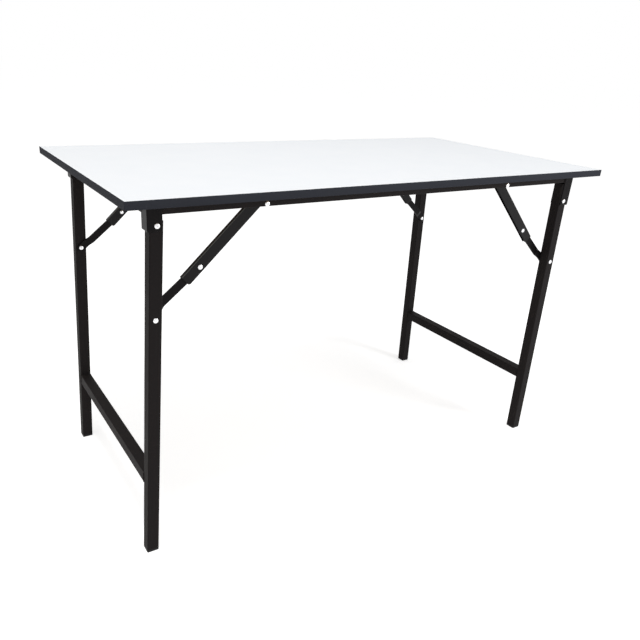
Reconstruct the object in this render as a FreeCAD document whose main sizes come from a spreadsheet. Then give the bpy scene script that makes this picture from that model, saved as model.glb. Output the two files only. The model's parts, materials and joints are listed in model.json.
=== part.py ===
import FreeCAD, Part
import math
import os

import Sketcher
from FreeCAD import Placement, Rotation, Vector

# Folding trestle table: a laminated board on a steel under-frame, with two leg frames that fold
# inward and four over-centre stays that lock them. Millimetres and degrees, +Z up, X along the
# length, Y across the depth, origin on the floor under the middle of the board.
SIZES = {
    # Worktop
    "top_length": 1200,
    "top_depth": 600,
    "table_height": 750,
    "top_thickness": 15,
    "laminate_thickness": 0.8,
    "backing_thickness": 0.5,
    "edging_thickness": 1,
    # Under-frame rails
    "rail_width": 25,
    "rail_height": 20,
    "rail_wall": 1.2,
    "rail_corner": 1.5,
    "cross_rail_width": 15,
    # Leg frames
    "leg_tube": 25,
    "leg_wall": 1.2,
    "leg_corner": 2,
    "leg_stub": 8,
    "leg_splay": 2.37,
    "row_inset": 52,
    "pivot_inset": 67,
    "swing_gap": 3.16,
    "stub_clearance": 1.2,
    "fold_gap": 2,
    "stretcher_height": 175,
    "cap_sole": 5,
    "cap_plug": 15,
    "cap_clearance": 0.1,
    # Leg brackets
    "bracket_gauge": 1.8,
    "bracket_side_gap": 0.5,
    "bracket_back_gap": 1,
    "bracket_front": 10.5,
    "bracket_chin": 10.6,
    "bracket_back_corner": 2.4,
    "bracket_front_corner": 3,
    "bracket_bend": 2,
    # Stays
    "stay_rail_inset": 214,
    "stay_rail_rise": 5,
    "left_stay_drop": 172.5,
    "right_stay_drop": 159,
    "stay_slack": 0.22,
    "channel_width": 10,
    "channel_gauge": 1.5,
    "channel_skirt": 10,
    "channel_nose": 10,
    "channel_tail": 39,
    "channel_nose_corner": 8.5,
    "channel_tail_corner": 5,
    "channel_bend": 2.2,
    "web_setback": 8,
    "web_gap": 0.35,
    "bar_width": 17,
    "bar_thickness": 3,
    "bar_end_flat": 0.3,
    "bar_foot": 18,
    "bar_ramp": 12,
    "plate_gap": 0.3,
    # Rivets and screws
    "rivet_radius": 3,
    "rivet_head_radius": 5.2,
    "rivet_head_height": 2.2,
    "pin_clearance": 0.05,
    "spacer_radius": 6,
    "screw_radius": 2,
    "screw_head_radius": 4,
    "screw_head_height": 2.2,
    "screw_bite": 10,
    "screw_inner_reach": 120,
    "screw_outer_inset": 103,
}

# Each end of the table has its own outward direction along X, each long side its own along Y.
ENDS = {"left": -1, "right": 1}
SIDES = {"near": -1, "far": 1}

# The leg frame at this end lies below the other one when both are folded.
LOWER_END = "right"

# Cutting tools pass this far beyond the faces that they cut through.
OVERCUT = 2

doc = FreeCAD.newDocument("folding_trestle_table")


def fill_sheet(name, values):
    """Make a spreadsheet of plain numbers, one alias for each value."""
    table = doc.addObject("Spreadsheet::Sheet", name)
    for row, (alias, value) in enumerate(values.items(), start=1):
        table.set(f"A{row}", alias)
        table.set(f"B{row}", repr(value))
        table.setAlias(f"B{row}", alias)
    doc.recompute()
    return table


sheet = fill_sheet("Sizes", SIZES)


def size(alias):
    """Read one driving dimension from the sheet."""
    return float(getattr(sheet, alias))


def stay_geometry(end, leg_pivot, rail_pivot, drop):
    """Work out one stay so that it locks over centre and lies along its rail when it is folded.

    Points are (distance from the table's middle, height). The channel's length is the one that
    brings the middle pivot level with the rail pivot once the leg lies flat.
    """
    splay = math.radians(size("leg_splay"))
    foot = (leg_pivot[0] + drop * math.sin(splay), leg_pivot[1] - drop * math.cos(splay))
    reach = math.dist(rail_pivot, foot)
    inset = leg_pivot[0] - drop - rail_pivot[0]
    fall = rail_pivot[1] - leg_pivot[1]
    total = reach + size("stay_slack")
    channel = (total**2 - inset**2 - fall**2) / (2 * (total - inset))
    bar = total - channel
    dip = math.atan2(rail_pivot[1] - foot[1], foot[0] - rail_pivot[0])
    dip += math.acos((channel**2 + reach**2 - bar**2) / (2 * channel * reach))
    middle = (rail_pivot[0] + channel * math.cos(dip), rail_pivot[1] - channel * math.sin(dip))
    bar_dip = math.atan2(middle[1] - foot[1], foot[0] - middle[0])
    kink = dip - bar_dip
    web = size("bar_width") / 2 * math.cos(kink) + size("channel_tail") * math.sin(kink) + size("web_gap")
    folded_dip = math.atan2(fall, channel - inset)
    return {
        f"{end}_channel_length": channel,
        f"{end}_bar_length": bar,
        f"{end}_channel_dip": math.degrees(dip),
        f"{end}_bar_dip": math.degrees(bar_dip),
        f"{end}_bar_turn": 180 - math.degrees(folded_dip) + math.degrees(kink),
        f"{end}_web_height": web,
        f"{end}_middle_reach": middle[0],
        f"{end}_middle_height": middle[1],
        f"{end}_foot_reach": foot[0],
        f"{end}_foot_height": foot[1],
    }


def worked_values():
    """Work out every place and length that follows from the driving dimensions."""
    values = {}
    values["rail_top"] = size("table_height") - size("top_thickness")
    values["rail_bottom"] = values["rail_top"] - size("rail_height")
    # The leg rows and pivots stand in from the edges of the board, the stays and screws in from the pivots.
    values["row_reach"] = size("top_depth") / 2 - size("row_inset")
    values["pivot_reach"] = size("top_length") / 2 - size("pivot_inset")
    values["stay_rail_reach"] = values["pivot_reach"] - size("stay_rail_inset")
    values["screw_inner_reach"] = size("screw_inner_reach")
    values["screw_outer_reach"] = values["pivot_reach"] - size("screw_outer_inset")
    swing = math.hypot(size("leg_tube") / 2, size("leg_stub"))
    values["left_pivot_height"] = values["rail_bottom"] - swing - size("swing_gap")
    values["right_pivot_height"] = values["left_pivot_height"] - size("leg_tube") - size("fold_gap")
    # The legs of the lower frame reach up to the rail and just clear it as they swing.
    room = values["rail_bottom"] - values["right_pivot_height"] - size("stub_clearance")
    values["left_leg_stub"] = size("leg_stub")
    values["right_leg_stub"] = math.sqrt(room**2 - (size("leg_tube") / 2) ** 2)
    # The bracket holds the wider of the leg and the rail between its cheeks.
    values["bracket_inside"] = max(size("leg_tube"), size("rail_width")) + 2 * size("bracket_side_gap")
    values["bracket_outside"] = values["bracket_inside"] + 2 * size("bracket_gauge")
    values["bracket_back"] = swing + size("bracket_back_gap") + size("bracket_gauge")
    values["rail_length"] = 2 * (values["pivot_reach"] + values["bracket_back"] - size("bracket_gauge"))
    # The stays run inside the legs and rails, with room for a rivet head between.
    leg_face = values["row_reach"] - size("leg_tube") / 2
    rail_face = values["row_reach"] - size("rail_width") / 2
    channel_face = min(leg_face, rail_face) - size("rivet_head_height") - 2 * size("plate_gap")
    values["leg_face"] = leg_face
    values["rail_face"] = rail_face
    values["channel_face"] = channel_face
    values["channel_row"] = channel_face - size("channel_width") / 2
    values["bar_offset"] = leg_face - size("plate_gap") - size("bar_thickness") / 2 - values["channel_row"]
    values["spacer_length"] = rail_face - channel_face - size("plate_gap")
    values["stay_rail_height"] = values["rail_bottom"] + size("stay_rail_rise")
    for end in ENDS:
        height = values[f"{end}_pivot_height"]
        values[f"{end}_leg_length"] = height / math.cos(math.radians(size("leg_splay")))
        leg_pivot = (values["pivot_reach"], height)
        rail_pivot = (values["stay_rail_reach"], values["stay_rail_height"])
        values.update(stay_geometry(end, leg_pivot, rail_pivot, size(f"{end}_stay_drop")))
    return values


WORKED = worked_values()
fill_sheet("Worked", WORKED)
nodes = []


def keep(node, label):
    """Name a finished sub-part and list it for writing."""
    node.Label = label
    nodes.append(node)


def bind(item, **expressions):
    """Bind properties of an object to expressions on the sheets."""
    for name, text in expressions.items():
        item.setExpression(name, text)


def end_placement(end, side, reach, row, height, tilt=0):
    """Place a piece at one end and side, its own X axis pointing out of the table and then tilted down."""
    turn = Rotation(Vector(0, 0, 1), 180 if end == "left" else 0)
    turn = turn.multiply(Rotation(Vector(0, 1, 0), tilt))
    return Placement(Vector(ENDS[end] * reach, SIDES[side] * row, height), turn)


# Sketches and features


def new_sketch(body, role, lift=None):
    """Start a sketch on one of the body's own origin planes, lifted along Z where that is asked for."""
    sketch = body.newObject("Sketcher::SketchObject", "Profile")
    plane = next(item for item in body.Origin.OriginFeatures if item.Role == role)
    sketch.AttachmentSupport = (plane, [""])
    sketch.MapMode = "FlatFace"
    if lift:
        sketch.setExpression("AttachmentOffset.Base.z", lift)
    return sketch


def outline(sketch, points):
    """Draw a closed outline whose corners are pairs of expressions."""
    corners = [Vector(*(float(sheet.evalExpression(text)) for text in pair), 0) for pair in points]
    count = len(points)
    for index, corner in enumerate(corners):
        sketch.addGeometry(Part.LineSegment(corner, corners[(index + 1) % count]), False)
    for index in range(count):
        sketch.addConstraint(Sketcher.Constraint("Coincident", index, 2, (index + 1) % count, 1))
    for index, corner in enumerate(corners):
        for kind, value, text in zip(("DistanceX", "DistanceY"), corner, points[index]):
            number = sketch.addConstraint(Sketcher.Constraint(kind, -1, 1, index, 1, value))
            sketch.setExpression(f"Constraints[{number}]", text)


def rectangle(sketch, low_x, high_x, low_y, high_y):
    """Draw a rectangle between four expressions."""
    outline(sketch, [(low_x, low_y), (high_x, low_y), (high_x, high_y), (low_x, high_y)])


def circles(sketch, radius, centres):
    """Draw equal circles, their radius and centres given as expressions."""
    for across, up in centres:
        centre = [float(sheet.evalExpression(text)) for text in (across, up)]
        start = float(sheet.evalExpression(radius))
        circle = Part.Circle(Vector(*centre, 0), Vector(0, 0, 1), start)
        index = sketch.addGeometry(circle, False)
        number = sketch.addConstraint(Sketcher.Constraint("Radius", index, start))
        sketch.setExpression(f"Constraints[{number}]", radius)
        for kind, value, text in zip(("DistanceX", "DistanceY"), centre, (across, up)):
            number = sketch.addConstraint(Sketcher.Constraint(kind, -1, 1, index, 3, value))
            sketch.setExpression(f"Constraints[{number}]", text)


def pad(body, sketch, length, sides="Symmetric", backwards=False):
    """Pad a sketch by an expression."""
    feature = body.newObject("PartDesign::Pad", "Pad")
    feature.Profile = sketch
    feature.SideType = sides
    feature.Reversed = backwards
    feature.setExpression("Length", length)
    doc.recompute()
    return feature


def pocket(body, sketch, length=None):
    """Cut a sketch both ways, through everything or by an expression, and check that it cut."""
    before = body.Shape.Volume
    feature = body.newObject("PartDesign::Pocket", "Pocket")
    feature.Profile = sketch
    feature.SideType = "Symmetric"
    if length:
        feature.setExpression("Length", length)
    else:
        feature.Type = "ThroughAll"
    doc.recompute()
    if not body.Shape.Volume < before:
        raise RuntimeError(f"{body.Name}: a pocket cut nothing")


def round_edges(body, base, radius, chosen):
    """Round the straight edges of a feature that a test picks by their direction and middle point."""
    names = []
    for index, edge in enumerate(base.Shape.Edges, start=1):
        if edge.Curve.TypeId == "Part::GeomLine":
            middle = edge.valueAt((edge.FirstParameter + edge.LastParameter) / 2)
            if chosen(edge.tangentAt(edge.FirstParameter), middle):
                names.append(f"Edge{index}")
    feature = body.newObject("PartDesign::Fillet", "Rounding")
    feature.Base = (base, names)
    feature.setExpression("Radius", radius)
    doc.recompute()
    return feature


def along(direction, axis):
    """Tell whether an edge's direction follows one axis."""
    return abs(abs(getattr(direction, axis)) - 1) < 1e-6


def square_tube(name, role, axis, section, length, lift=None, backwards=False):
    """Make a tube with rounded outer corners along one axis of its own body.

    section gives expressions for the width, the height, the wall and the corner radius.
    """
    width, height, wall, corner = section
    body = doc.addObject("PartDesign::Body", name)
    outer = new_sketch(body, role, lift)
    rectangle(outer, f"-{width} / 2", f"{width} / 2", f"-{height} / 2", f"{height} / 2")
    sides = "One side" if lift else "Symmetric"
    block = pad(body, outer, length, sides, backwards)
    round_edges(body, block, corner, lambda direction, middle: along(direction, axis))
    bore = new_sketch(body, role)
    rectangle(
        bore,
        f"-{width} / 2 + {wall}",
        f"{width} / 2 - {wall}",
        f"-{height} / 2 + {wall}",
        f"{height} / 2 - {wall}",
    )
    pocket(body, bore)
    return body


def drill(body, role, radius, centres):
    """Drill equal holes right through a body."""
    sketch = new_sketch(body, role)
    circles(sketch, radius, centres)
    pocket(body, sketch)


RIVET_HOLE = "Sizes.rivet_radius + Sizes.pin_clearance"
SCREW_HOLE = "Sizes.screw_radius + Sizes.pin_clearance"
RAIL_SECTION = ("Sizes.rail_width", "Sizes.rail_height", "Sizes.rail_wall", "Sizes.rail_corner")
CROSS_SECTION = ("Sizes.cross_rail_width", "Sizes.rail_height", "Sizes.rail_wall", "Sizes.rail_corner")
LEG_SECTION = ("Sizes.leg_tube", "Sizes.leg_tube", "Sizes.leg_wall", "Sizes.leg_corner")


# Worktop


def board_sheet(name, bottom, thickness):
    """Make one flat layer of the board inside its edging."""
    layer = doc.addObject("Part::Box", name)
    bind(
        layer,
        Length="Sizes.top_length - 2 * Sizes.edging_thickness",
        Width="Sizes.top_depth - 2 * Sizes.edging_thickness",
        Height=thickness,
    )
    layer.setExpression("Placement.Base.x", "-Sizes.top_length / 2 + Sizes.edging_thickness")
    layer.setExpression("Placement.Base.y", "-Sizes.top_depth / 2 + Sizes.edging_thickness")
    layer.setExpression("Placement.Base.z", bottom)
    return layer


def screw_places():
    """List the screws along both rails as (x, y)."""
    places = []
    for side in SIDES.values():
        for reach in ("screw_inner_reach", "screw_outer_reach"):
            for end in ENDS.values():
                places.append((end * WORKED[reach], side * WORKED["row_reach"]))
    return places


def pilot_holes():
    """Make the drill group that bores the board for its screws."""
    drills = []
    for x, y in screw_places():
        hole = doc.addObject("Part::Cylinder", "Pilot")
        bind(hole, Radius=SCREW_HOLE, Height=f"{OVERCUT} + Sizes.screw_bite + Sizes.pin_clearance")
        hole.Placement.Base = Vector(x, y, WORKED["rail_top"] - OVERCUT)
        drills.append(hole)
    group = doc.addObject("Part::Compound", "Pilots")
    group.Links = drills
    return group


def make_board():
    """Make the core, its two facings and the four edging strips."""
    pilots = pilot_holes()
    core_bottom = "Worked.rail_top + Sizes.backing_thickness"
    core_depth = "Sizes.top_thickness - Sizes.backing_thickness - Sizes.laminate_thickness"
    layers = {
        "backing_sheet": ("Worked.rail_top", "Sizes.backing_thickness"),
        "worktop_core": (core_bottom, core_depth),
    }
    for label, (bottom, thickness) in layers.items():
        drilled = doc.addObject("Part::Cut", label)
        drilled.Base = board_sheet(f"{label}_blank", bottom, thickness)
        drilled.Tool = pilots
        keep(drilled, label)
    laminate_bottom = "Sizes.table_height - Sizes.laminate_thickness"
    keep(board_sheet("laminate", laminate_bottom, "Sizes.laminate_thickness"), "top_laminate")
    for side, sign in SIDES.items():
        strip = doc.addObject("Part::Box", f"{side}_edging")
        bind(strip, Length="Sizes.top_length", Width="Sizes.edging_thickness", Height="Sizes.top_thickness")
        strip.setExpression("Placement.Base.x", "-Sizes.top_length / 2")
        edge = f"{sign} * Sizes.top_depth / 2"
        strip.setExpression("Placement.Base.y", edge if sign < 0 else f"{edge} - Sizes.edging_thickness")
        strip.setExpression("Placement.Base.z", "Worked.rail_top")
        keep(strip, f"{side}_edging")
    for end, sign in ENDS.items():
        strip = doc.addObject("Part::Box", f"{end}_edging")
        bind(
            strip,
            Length="Sizes.edging_thickness",
            Width="Sizes.top_depth - 2 * Sizes.edging_thickness",
            Height="Sizes.top_thickness",
        )
        edge = f"{sign} * Sizes.top_length / 2"
        strip.setExpression("Placement.Base.x", edge if sign < 0 else f"{edge} - Sizes.edging_thickness")
        strip.setExpression("Placement.Base.y", "-Sizes.top_depth / 2 + Sizes.edging_thickness")
        strip.setExpression("Placement.Base.z", "Worked.rail_top")
        keep(strip, f"{end}_edging")


# Under-frame


def make_rails():
    """Make the two long rails, and the cross rails that tie them."""
    middle = WORKED["rail_bottom"] + size("rail_height") / 2
    stay_hole = "Sizes.stay_rail_rise - Sizes.rail_height / 2"
    screw_reaches = ("Worked.screw_inner_reach", "Worked.screw_outer_reach")
    for side, sign in SIDES.items():
        rail = square_tube(f"{side}_rail", "YZ_Plane", "x", RAIL_SECTION, "Worked.rail_length")
        stays = [(f"{end} * Worked.stay_rail_reach", stay_hole) for end in ENDS.values()]
        drill(rail, "XZ_Plane", RIVET_HOLE, stays)
        screws = [(f"{end} * {reach}", "0") for reach in screw_reaches for end in ENDS.values()]
        drill(rail, "XY_Plane", SCREW_HOLE, screws)
        rail.Placement.Base = Vector(0, sign * WORKED["row_reach"], middle)
        keep(rail, f"{side}_rail")
    between_rails = "2 * Worked.rail_face"
    centre = square_tube("centre_cross_rail", "XZ_Plane", "y", CROSS_SECTION, between_rails)
    centre.Placement.Base = Vector(0, 0, middle)
    keep(centre, "centre_cross_rail")
    # The outer faces of the end cross rails are flush with the backs of the brackets.
    reach = WORKED["pivot_reach"] + WORKED["bracket_back"] - size("cross_rail_width") / 2
    for end, sign in ENDS.items():
        between_brackets = "2 * Worked.row_reach - Worked.bracket_outside"
        rail = square_tube(f"{end}_cross_rail", "XZ_Plane", "y", CROSS_SECTION, between_brackets)
        rail.Placement.Base = Vector(sign * reach, 0, middle)
        keep(rail, f"{end}_cross_rail")


def make_bracket(end, side):
    """Make one pressed bracket: two cheeks beside the leg and a web behind it, open inward.

    The web of the lower frame's deeper bracket stops at the rail's bottom, clear of the leg's swing.
    """
    label = f"{side}_{end}_bracket"
    top = f"Worked.rail_top - Worked.{end}_pivot_height"
    body = doc.addObject("PartDesign::Body", label)
    cheek = new_sketch(body, "XZ_Plane")
    rectangle(cheek, "-Sizes.bracket_front", "Worked.bracket_back", "-Sizes.bracket_chin", top)
    block = pad(body, cheek, "Worked.bracket_outside")
    chin = -size("bracket_chin") / 2
    back = round_edges(
        body,
        block,
        "Sizes.bracket_back_corner",
        lambda direction, middle: along(direction, "y") and middle.z < chin and middle.x > 0,
    )
    front = round_edges(
        body,
        back,
        "Sizes.bracket_front_corner",
        lambda direction, middle: along(direction, "y") and middle.z < chin and middle.x < 0,
    )
    web = WORKED["bracket_back"] - size("bracket_bend")
    round_edges(
        body,
        front,
        "Sizes.bracket_bend",
        lambda direction, middle: along(direction, "z") and middle.x > web,
    )
    start = f"-Sizes.bracket_front - {OVERCUT}"
    inside = "Worked.bracket_back - Sizes.bracket_gauge"
    below = f"-Sizes.bracket_chin - {OVERCUT}"
    above = f"{top} + {OVERCUT}"
    corners = [(inside, above), (start, above), (start, below)]
    if end == LOWER_END:
        beyond = f"Worked.bracket_back + {OVERCUT}"
        rail_foot = f"Worked.rail_bottom - Worked.{end}_pivot_height"
        corners += [(beyond, below), (beyond, rail_foot), (inside, rail_foot)]
    else:
        corners += [(inside, below)]
    slot = new_sketch(body, "XZ_Plane")
    outline(slot, corners)
    pocket(body, slot, "Worked.bracket_inside")
    drill(body, "XZ_Plane", RIVET_HOLE, [("0", "0")])
    body.Placement = end_placement(
        end, side, WORKED["pivot_reach"], WORKED["row_reach"], WORKED[f"{end}_pivot_height"]
    )
    keep(body, label)


# Leg frames


def leg_placement(end, side):
    """Place a piece of a leg frame: its origin on the leg pivot, its Z axis up the splayed leg."""
    height = WORKED[f"{end}_pivot_height"]
    return end_placement(end, side, WORKED["pivot_reach"], WORKED["row_reach"], height, -size("leg_splay"))


def make_leg(end, side):
    """Make one leg tube, drilled for its pivot and for its stay."""
    label = f"{side}_{end}_leg"
    stub = f"Worked.{end}_leg_stub"
    length = f"{stub} + Worked.{end}_leg_length - Sizes.cap_sole"
    leg = square_tube(label, "XY_Plane", "z", LEG_SECTION, length, stub, backwards=True)
    drill(leg, "XZ_Plane", RIVET_HOLE, [("0", "0"), ("0", f"-Sizes.{end}_stay_drop")])
    leg.Placement = leg_placement(end, side)
    keep(leg, label)


def make_stretcher(end):
    """Make the tube that ties the two legs of one frame near the floor."""
    label = f"{end}_stretcher"
    stretcher = square_tube(label, "XZ_Plane", "y", LEG_SECTION, "2 * Worked.leg_face")
    drop = WORKED[f"{end}_pivot_height"] - size("stretcher_height")
    place = leg_placement(end, "near")
    down = drop / math.cos(math.radians(size("leg_splay")))
    base = place.multVec(Vector(0, 0, -down))
    stretcher.Placement = Placement(Vector(base.x, 0, base.z), place.Rotation)
    keep(stretcher, label)


def make_foot_cap(end, side):
    """Make one plastic end cap: a plug in the tube and a sole that stands flat on the floor."""
    label = f"{side}_{end}_foot_cap"
    seat = f"Sizes.cap_sole - Worked.{end}_leg_length"
    body = doc.addObject("PartDesign::Body", f"{label}_blank")
    sole = new_sketch(body, "XY_Plane", seat)
    rectangle(sole, "-Sizes.leg_tube / 2", "Sizes.leg_tube / 2", "-Sizes.leg_tube / 2", "Sizes.leg_tube / 2")
    block = pad(body, sole, f"Sizes.cap_sole + {OVERCUT}", "One side", backwards=True)
    round_edges(body, block, "Sizes.leg_corner", lambda direction, middle: along(direction, "z"))
    half = "(Sizes.leg_tube / 2 - Sizes.leg_wall - Sizes.cap_clearance)"
    plug = new_sketch(body, "XY_Plane", seat)
    rectangle(plug, f"-{half}", half, f"-{half}", half)
    pad(body, plug, "Sizes.cap_plug", "One side")
    body.Placement = leg_placement(end, side)
    floor = doc.addObject("Part::Box", f"{label}_floor")
    bind(floor, Length="4 * Sizes.leg_tube", Width="4 * Sizes.leg_tube", Height="Sizes.leg_tube")
    centre = body.Placement.multVec(Vector(0, 0, -WORKED[f"{end}_leg_length"]))
    floor.Placement.Base = centre - Vector(2 * size("leg_tube"), 2 * size("leg_tube"), size("leg_tube"))
    cap = doc.addObject("Part::Cut", label)
    cap.Base = body
    cap.Tool = floor
    keep(cap, label)


# Stays


def make_channel(end, side):
    """Make the upper arm of one stay: a pressed channel, open below, pivoted on the rail."""
    label = f"{side}_{end}_stay_channel"
    tip = f"Worked.{end}_channel_length + Sizes.channel_tail"
    web_inside = f"Worked.{end}_web_height"
    web_outside = f"{web_inside} + Sizes.channel_gauge"
    body = doc.addObject("PartDesign::Body", label)
    cheek = new_sketch(body, "XZ_Plane")
    rectangle(cheek, "-Sizes.channel_nose", tip, "-Sizes.channel_skirt", web_outside)
    block = pad(body, cheek, "Sizes.channel_width")
    nose = round_edges(
        body,
        block,
        "Sizes.channel_nose_corner",
        lambda direction, middle: along(direction, "y") and middle.x < 0,
    )
    tail = round_edges(
        body,
        nose,
        "Sizes.channel_tail_corner",
        lambda direction, middle: along(direction, "y") and middle.x > 0 and middle.z < 0,
    )
    round_edges(
        body,
        tail,
        "Sizes.channel_bend",
        lambda direction, middle: along(direction, "x") and middle.z > 0,
    )
    inside = new_sketch(body, "XZ_Plane")
    start = f"-Sizes.channel_nose - {OVERCUT}"
    below = f"-Sizes.channel_skirt - {OVERCUT}"
    above = f"{web_outside} + {OVERCUT}"
    outline(
        inside,
        [
            (start, below),
            (f"{tip} + {OVERCUT}", below),
            (f"{tip} + {OVERCUT}", web_inside),
            ("Sizes.web_setback", web_inside),
            ("Sizes.web_setback", above),
            (start, above),
        ],
    )
    pocket(body, inside, "Sizes.channel_width - 2 * Sizes.channel_gauge")
    drill(body, "XZ_Plane", RIVET_HOLE, [("0", "0"), (f"Worked.{end}_channel_length", "0")])
    body.Placement = end_placement(
        end,
        side,
        WORKED["stay_rail_reach"],
        WORKED["channel_row"],
        WORKED["stay_rail_height"],
        WORKED[f"{end}_channel_dip"],
    )
    keep(body, label)


def make_bar(end, side):
    """Make the lower arm of one stay: a flat bar, joggled out to the leg's inner face."""
    label = f"{side}_{end}_stay_bar"
    outward = ENDS[end] * SIDES[side]
    length = f"Worked.{end}_bar_length"
    half = "Sizes.bar_thickness / 2"
    set_out = f"{outward} * Worked.bar_offset"
    start = "-Sizes.bar_width / 2"
    finish = f"{length} + Sizes.bar_width / 2"
    ramp_end = f"{length} - Sizes.bar_foot"
    ramp_start = f"{ramp_end} - Sizes.bar_ramp"
    body = doc.addObject("PartDesign::Body", label)
    profile = new_sketch(body, "XY_Plane")
    outline(
        profile,
        [
            (start, f"-{half}"),
            (ramp_start, f"-{half}"),
            (ramp_end, f"{set_out} - {half}"),
            (finish, f"{set_out} - {half}"),
            (finish, f"{set_out} + {half}"),
            (ramp_end, f"{set_out} + {half}"),
            (ramp_start, half),
            (start, half),
        ],
    )
    block = pad(body, profile, "Sizes.bar_width")
    middle_length = WORKED[f"{end}_bar_length"] / 2
    round_edges(
        body,
        block,
        "(Sizes.bar_width - Sizes.bar_end_flat) / 2",
        lambda direction, middle: along(direction, "y") and abs(middle.x - middle_length) > middle_length,
    )
    drill(body, "XZ_Plane", RIVET_HOLE, [("0", "0"), (length, "0")])
    body.Placement = end_placement(
        end,
        side,
        WORKED[f"{end}_middle_reach"],
        WORKED["channel_row"],
        WORKED[f"{end}_middle_height"],
        WORKED[f"{end}_bar_dip"],
    )
    keep(body, label)


# Rivets, spacers and screws


def dome(name, radius, height, seat="0", below=False):
    """Make a round head as a slice of a sphere, standing on a seat height or hanging below it."""
    ball = f"((({radius})^2 + ({height})^2) / (2 * {height}))"
    rim = f"asin(1 - {height} / {ball})"
    head = doc.addObject("Part::Sphere", name)
    head.setExpression("Radius", ball)
    if below:
        bind(head, Angle1="-90", Angle2=f"-{rim}")
        head.setExpression("Placement.Base.z", f"{seat} - {height} + {ball}")
    else:
        bind(head, Angle1=rim)
        head.setExpression("Placement.Base.z", f"{seat} + {height} - {ball}")
    return head


def make_rivet(name, place, grip, tail=True):
    """Make one rivet with its head outside the seat at Z = 0 and its shank along -Z for the grip."""
    shank = doc.addObject("Part::Cylinder", f"{name}_shank")
    bind(shank, Radius="Sizes.rivet_radius", Height=grip)
    shank.setExpression("Placement.Base.z", f"-({grip})")
    head = ("Sizes.rivet_head_radius", "Sizes.rivet_head_height")
    pieces = [shank, dome(f"{name}_head", *head)]
    if tail:
        pieces.append(dome(f"{name}_tail", *head, seat=f"-({grip})", below=True))
    rivet = doc.addObject("Part::MultiFuse", name)
    rivet.Shapes = pieces
    rivet.Placement = place
    return rivet


def across(end, side, reach, row, height, outward=True):
    """Place a rivet across the depth of the table, its head on the outer or the inner side."""
    sign = SIDES[side] if outward else -SIDES[side]
    point = Vector(ENDS[end] * reach, SIDES[side] * row, height)
    return Placement(point, Rotation(Vector(0, 0, 1), Vector(0, sign, 0)))


def make_group(label, pieces):
    """Gather identical fasteners as one node of separate solids."""
    group = doc.addObject("Part::Compound", label)
    group.Links = pieces
    keep(group, label)


def make_leg_rivets(end):
    """Make the rivets that one leg frame turns on, and those that hold its stays to the legs."""
    pivots = []
    stays = []
    for side in SIDES:
        row = WORKED["row_reach"] + WORKED["bracket_outside"] / 2
        place = across(end, side, WORKED["pivot_reach"], row, WORKED[f"{end}_pivot_height"])
        pivots.append(make_rivet(f"{side}_{end}_pivot_rivet", place, "Worked.bracket_outside"))
        row = WORKED["row_reach"] + size("leg_tube") / 2
        place = across(end, side, WORKED[f"{end}_foot_reach"], row, WORKED[f"{end}_foot_height"])
        stays.append(make_rivet(f"{side}_{end}_leg_rivet", place, "Sizes.leg_tube", tail=False))
    make_group(f"{end}_leg_pivot_rivets", pivots)
    make_group(f"{end}_leg_stay_rivets", stays)


def make_stay_rivets(end, side):
    """Make the rivet at the middle of one stay, and the rivet end that closes its bar on the leg."""
    place = across(
        end, side, WORKED[f"{end}_middle_reach"], WORKED["channel_face"], WORKED[f"{end}_middle_height"]
    )
    label = f"{side}_{end}_stay_rivet"
    keep(make_rivet(label, place, "Sizes.channel_width"), label)
    row = WORKED["leg_face"] - size("plate_gap") - size("bar_thickness")
    place = across(
        end, side, WORKED[f"{end}_foot_reach"], row, WORKED[f"{end}_foot_height"], outward=False
    )
    label = f"{side}_{end}_bar_rivet_end"
    keep(make_rivet(label, place, "Sizes.bar_thickness", tail=False), label)


def make_rail_rivets():
    """Make the rivets that carry the stays on the rails, with the spacers between."""
    rivets = []
    spacers = []
    grip = "Worked.row_reach + Sizes.rail_width / 2 - Worked.channel_face + Sizes.channel_width"
    for end in ENDS:
        for side in SIDES:
            row = WORKED["row_reach"] + size("rail_width") / 2
            place = across(end, side, WORKED["stay_rail_reach"], row, WORKED["stay_rail_height"])
            rivets.append(make_rivet(f"{side}_{end}_rail_rivet", place, grip))
            ring = doc.addObject("Part::Cylinder", "Ring")
            bind(ring, Radius="Sizes.spacer_radius", Height="Worked.spacer_length")
            bore = doc.addObject("Part::Cylinder", "Bore")
            bind(bore, Radius=RIVET_HOLE, Height="Worked.spacer_length")
            spacer = doc.addObject("Part::Cut", f"{side}_{end}_spacer")
            spacer.Base = ring
            spacer.Tool = bore
            row = WORKED["rail_face"]
            spacer.Placement = across(
                end, side, WORKED["stay_rail_reach"], row, WORKED["stay_rail_height"], outward=False
            )
            spacers.append(spacer)
    make_group("stay_rail_rivets", rivets)
    make_group("stay_spacers", spacers)


def make_screws():
    """Make the screws that hold the board down on its rails."""
    screws = []
    grip = "Sizes.rail_height + Sizes.screw_bite"
    for x, y in screw_places():
        shank = doc.addObject("Part::Cylinder", "Screw_shank")
        bind(shank, Radius="Sizes.screw_radius", Height=grip)
        shank.setExpression("Placement.Base.z", f"-({grip})")
        head = dome("Screw_head", "Sizes.screw_head_radius", "Sizes.screw_head_height")
        screw = doc.addObject("Part::Fuse", "Screw")
        screw.Base = shank
        screw.Tool = head
        screw.Placement = Placement(Vector(x, y, WORKED["rail_bottom"]), Rotation(Vector(1, 0, 0), 180))
        screws.append(screw)
    make_group("top_screws", screws)


def check_model():
    """Stop if any object failed to build, or any sub-part is empty or invalid."""
    doc.recompute()
    for item in doc.Objects:
        if "Invalid" in item.State or "Error" in item.State:
            raise RuntimeError(f"{item.Label} failed: {item.State}")
    for node in nodes:
        if node.Shape.isNull() or not node.Shape.isValid() or not node.Shape.Solids:
            raise RuntimeError(f"{node.Label} has no valid solid")


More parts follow.
